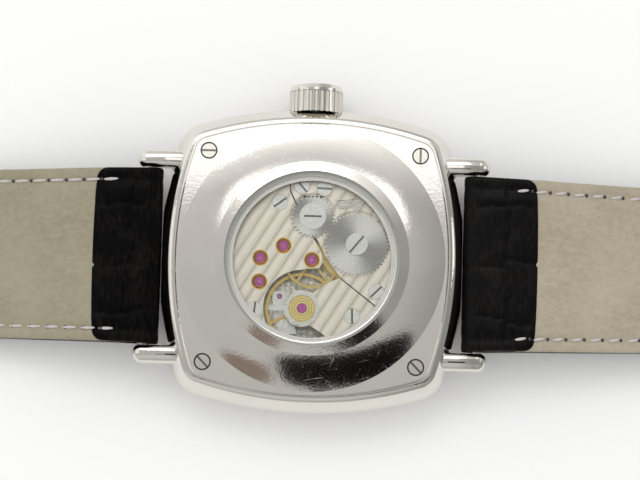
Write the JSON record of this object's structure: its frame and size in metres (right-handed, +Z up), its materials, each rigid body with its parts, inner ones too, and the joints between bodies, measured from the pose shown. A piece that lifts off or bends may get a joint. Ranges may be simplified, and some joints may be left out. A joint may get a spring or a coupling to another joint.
{
  "type": "wristwatch",
  "caption": "Steel cushion case wristwatch lying dial down, with a screwed display back over a hand wound movement and a padded grained leather strap with pin buckle.",
  "frame": {"origin": "centre of the flat outer face of the front crystal, on which the watch lies dial down", "axes": "+X points to 12 o'clock, along the short strap half; +Y points to the crown at 3 o'clock; +Z points up, out of the case back"},
  "size_m": [0.2432, 0.042, 0.0088],
  "materials": {
    "polished_steel": "mirror polished steel with fine wear",
    "crystal": "clear flat crystal",
    "seal": "matte black seal",
    "dial_silver": "silvered matte dial",
    "ring_steel": "satin steel",
    "nickel": "nickel plated, striped",
    "movement_steel": "polished movement steel",
    "brass": "gilt brass, fine brushed",
    "gilt": "polished gilt",
    "ruby": "polished synthetic ruby",
    "blued_steel": "heat blued polished steel",
    "black_leather": "glossy square grained leather",
    "lining": "pale pebbled lining leather"
  },
  "bodies": {
    "root": {"midcase": "polished_steel", "bezel": "polished_steel", "front_crystal": "crystal", "dial_ring": "ring_steel", "rear_cover": "polished_steel", "rear_crystal": "crystal", "crystal_gaskets": "seal", "rear_cover_gasket": "seal", "rear_cover_screws": "polished_steel", "crown_tube": "polished_steel", "movement_ring": "ring_steel", "casing_clamps": "movement_steel", "dial": "dial_silver", "hour_markers": "movement_steel", "main_plate": "nickel", "train_bridge": "nickel", "barrel_bridge": "nickel", "balance_cock": "nickel", "pallet_cock": "movement_steel", "bridge_screws": "movement_steel", "jewel_settings": "gilt", "jewels": "ruby", "crown_wheel_core": "movement_steel", "click_spring": "movement_steel", "hairspring": "blued_steel", "spring_bars": "ring_steel"},
    "crown_slider": {"crown_gasket": "seal"},
    "crown_group": {"crown": "polished_steel", "winding_stem": "movement_steel"},
    "winding_pinion_group": {"winding_pinion": "movement_steel"},
    "sliding_pinion_group": {"sliding_pinion": "movement_steel"},
    "crown_wheel_group": {"crown_wheel": "movement_steel"},
    "ratchet_group": {"ratchet_wheel": "movement_steel", "barrel_arbor": "movement_steel"},
    "barrel_group": {"barrel_drum": "brass", "barrel_cover": "brass", "mainspring": "movement_steel"},
    "click_group": {"click": "movement_steel"},
    "minute_group": {"cannon_pinion": "brass", "minute_hand": "blued_steel"},
    "minute_wheel_group": {"minute_wheel": "brass"},
    "setting_wheel_group": {"setting_wheel": "movement_steel"},
    "hour_group": {"hour_wheel": "brass", "hour_hand": "blued_steel"},
    "seconds_group": {"fourth_wheel": "brass", "seconds_hand": "blued_steel"},
    "centre_group": {"centre_wheel": "brass"},
    "third_group": {"third_wheel": "brass"},
    "escape_group": {"escape_wheel": "movement_steel"},
    "pallet_group": {"pallet_fork": "movement_steel"},
    "balance_group": {"balance_wheel": "brass"},
    "regulator_group": {"regulator": "movement_steel"},
    "strap_long": {"strap_long_leather": "black_leather", "strap_long_lining": "lining"},
    "strap_short": {"strap_short_leather": "black_leather", "strap_short_lining": "lining", "fixed_keeper": "black_leather"},
    "loose_keeper_group": {"loose_keeper": "black_leather"},
    "buckle": {"buckle_frame": "polished_steel"},
    "tongue": {"buckle_tongue": "polished_steel"}
  },
  "joints": [
    {"name": "crown_pull", "type": "slide", "parent": "root", "child": "crown_slider", "axis": [0, 1, 0], "range_m": [0, 0.0009]},
    {"name": "crown_turn", "type": "hinge", "parent": "crown_slider", "child": "crown_group", "pos_m": [0, 0.0225, 0.0047], "axis": [0, 1, 0], "continuous": true},
    {"name": "winding_pinion_turn", "type": "hinge", "parent": "root", "child": "winding_pinion_group", "pos_m": [0, 0.0077, 0.0047], "axis": [0, 1, 0], "continuous": true},
    {"name": "sliding_pinion_slide", "type": "slide", "parent": "crown_group", "child": "sliding_pinion_group", "axis": [0, 1, 0], "range_m": [-0.0017, 0]},
    {"name": "crown_wheel_turn", "type": "hinge", "parent": "root", "child": "crown_wheel_group", "pos_m": [-0.00004, 0.00553, 0.006], "axis": [0, 0, 1], "continuous": true},
    {"name": "ratchet_turn", "type": "hinge", "parent": "root", "child": "ratchet_group", "pos_m": [0.00558, 0.00212, 0.006], "axis": [0, 0, 1], "continuous": true},
    {"name": "barrel_turn", "type": "hinge", "parent": "root", "child": "barrel_group", "pos_m": [0.00558, 0.00212, 0.0044], "axis": [0, 0, 1], "continuous": true},
    {"name": "click_rock", "type": "hinge", "parent": "root", "child": "click_group", "pos_m": [0.00545, 0.00711, 0.006], "axis": [0, 0, 1], "range_deg": [-6, 0]},
    {"name": "minute_turn", "type": "hinge", "parent": "root", "child": "minute_group", "pos_m": [0, 0, 0.003], "axis": [0, 0, 1], "continuous": true},
    {"name": "minute_wheel_turn", "type": "hinge", "parent": "root", "child": "minute_wheel_group", "pos_m": [-0.00225, 0.0013, 0.0038], "axis": [0, 0, 1], "continuous": true},
    {"name": "setting_wheel_turn", "type": "hinge", "parent": "root", "child": "setting_wheel_group", "pos_m": [-0.00042, 0.00398, 0.0038], "axis": [0, 0, 1], "continuous": true},
    {"name": "hour_turn", "type": "hinge", "parent": "root", "child": "hour_group", "pos_m": [0, 0, 0.003], "axis": [0, 0, 1], "continuous": true},
    {"name": "seconds_turn", "type": "hinge", "parent": "root", "child": "seconds_group", "pos_m": [-0.00649, 0.0001, 0.004], "axis": [0, 0, 1], "continuous": true},
    {"name": "centre_turn", "type": "hinge", "parent": "root", "child": "centre_group", "pos_m": [0, 0, 0.005], "axis": [0, 0, 1], "continuous": true},
    {"name": "third_turn", "type": "hinge", "parent": "root", "child": "third_group", "pos_m": [-0.00361, 0.00171, 0.005], "axis": [0, 0, 1], "continuous": true},
    {"name": "escape_turn", "type": "hinge", "parent": "root", "child": "escape_group", "pos_m": [-0.00653, -0.0029, 0.0046], "axis": [0, 0, 1], "continuous": true},
    {"name": "pallet_rock", "type": "hinge", "parent": "root", "child": "pallet_group", "pos_m": [-0.00395, -0.00456, 0.0046], "axis": [0, 0, 1], "range_deg": [-5, 5]},
    {"name": "balance_swing", "type": "hinge", "parent": "root", "child": "balance_group", "pos_m": [-0.00109, -0.00616, 0.005], "axis": [0, 0, 1], "range_deg": [-270, 270], "stiffness_Nm_per_rad": 0.00000016},
    {"name": "regulator_shift", "type": "hinge", "parent": "root", "child": "regulator_group", "pos_m": [-0.00109, -0.00616, 0.0063], "axis": [0, 0, 1], "range_deg": [-12, 12]},
    {"name": "strap_long_swing", "type": "hinge", "parent": "root", "child": "strap_long", "pos_m": [-0.0209, 0, 0.0059], "axis": [0, 1, 0], "range_deg": [-45, 85]},
    {"name": "strap_short_swing", "type": "hinge", "parent": "root", "child": "strap_short", "pos_m": [0.0209, 0, 0.0059], "axis": [0, -1, 0], "range_deg": [-45, 85]},
    {"name": "loose_keeper_slide", "type": "slide", "parent": "strap_short", "child": "loose_keeper_group", "axis": [1, 0, 0], "range_m": [-0.004, 0.0105]},
    {"name": "buckle_swing", "type": "hinge", "parent": "strap_short", "child": "buckle", "pos_m": [0.0959, 0, 0.0031], "axis": [0, -1, 0], "range_deg": [-30, 90]},
    {"name": "tongue_swing", "type": "hinge", "parent": "buckle", "child": "tongue", "pos_m": [0.0959, 0, 0.0031], "axis": [0, -1, 0], "range_deg": [-75, 0]}
  ],
  "couplings": [
    {"joint": "winding_pinion_turn", "follows": "crown_turn", "ratio": 1},
    {"joint": "sliding_pinion_slide", "follows": "crown_pull", "ratio": -1.8889},
    {"joint": "crown_wheel_turn", "follows": "crown_turn", "ratio": -0.4375},
    {"joint": "ratchet_turn", "follows": "crown_turn", "ratio": 0.29167},
    {"joint": "minute_wheel_turn", "follows": "minute_turn", "ratio": -0.33333},
    {"joint": "setting_wheel_turn", "follows": "minute_turn", "ratio": 0.5},
    {"joint": "hour_turn", "follows": "minute_turn", "ratio": 0.083333},
    {"joint": "third_turn", "follows": "seconds_turn", "ratio": -0.13333},
    {"joint": "centre_turn", "follows": "seconds_turn", "ratio": 0.016667},
    {"joint": "barrel_turn", "follows": "seconds_turn", "ratio": -0.0027778},
    {"joint": "escape_turn", "follows": "seconds_turn", "ratio": -12}
  ]
}
